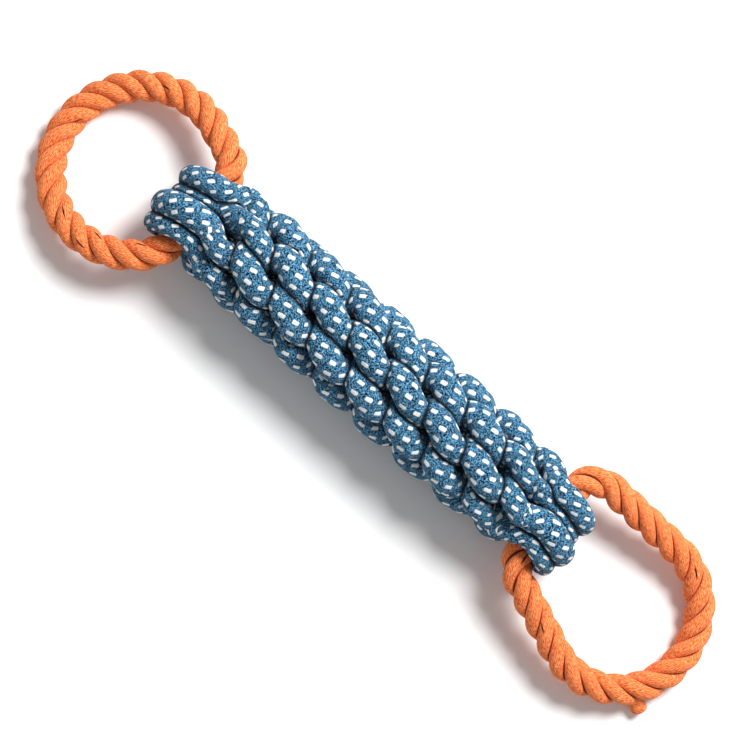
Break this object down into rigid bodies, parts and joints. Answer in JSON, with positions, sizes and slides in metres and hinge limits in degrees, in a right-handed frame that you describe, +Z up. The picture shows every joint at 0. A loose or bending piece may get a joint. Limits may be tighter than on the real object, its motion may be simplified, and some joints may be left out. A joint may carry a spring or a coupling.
{
  "type": "rope dog toy",
  "caption": "Tug toy of blue flecked cotton cords worked into a thick round braid, with an orange twisted rope ring swinging in the folded cords at each end",
  "frame": {"origin": "under the middle of the whole toy, on the surface it lies on", "axes": "+X along the braid towards the longer ring, +Z up, +Y across the braid"},
  "size_m": [0.3466, 0.0842, 0.0455],
  "materials": {
    "blue_cord": "braided cotton cover in mixed blues with white flecks",
    "orange_rope": "soft three-strand cotton rope"
  },
  "bodies": {
    "braid": {"blue_cord_1": "blue_cord", "blue_cord_2": "blue_cord", "blue_cord_3": "blue_cord", "blue_cord_4": "blue_cord"},
    "left_ring": {"left_ring_strand_1": "orange_rope", "left_ring_strand_2": "orange_rope", "left_ring_strand_3": "orange_rope"},
    "right_ring": {"right_ring_strand_1": "orange_rope", "right_ring_strand_2": "orange_rope", "right_ring_strand_3": "orange_rope"}
  },
  "joints": [
    {"name": "left_ring_swing", "type": "hinge", "parent": "braid", "child": "left_ring", "pos_m": [-0.10192, 0.00316, 0.02223], "axis": [0, 1, 0], "range_deg": [-126, 153]},
    {"name": "right_ring_swing", "type": "hinge", "parent": "braid", "child": "right_ring", "pos_m": [0.0854, 0.00316, 0.02223], "axis": [0, -1, 0], "range_deg": [-129, 150]}
  ]
}
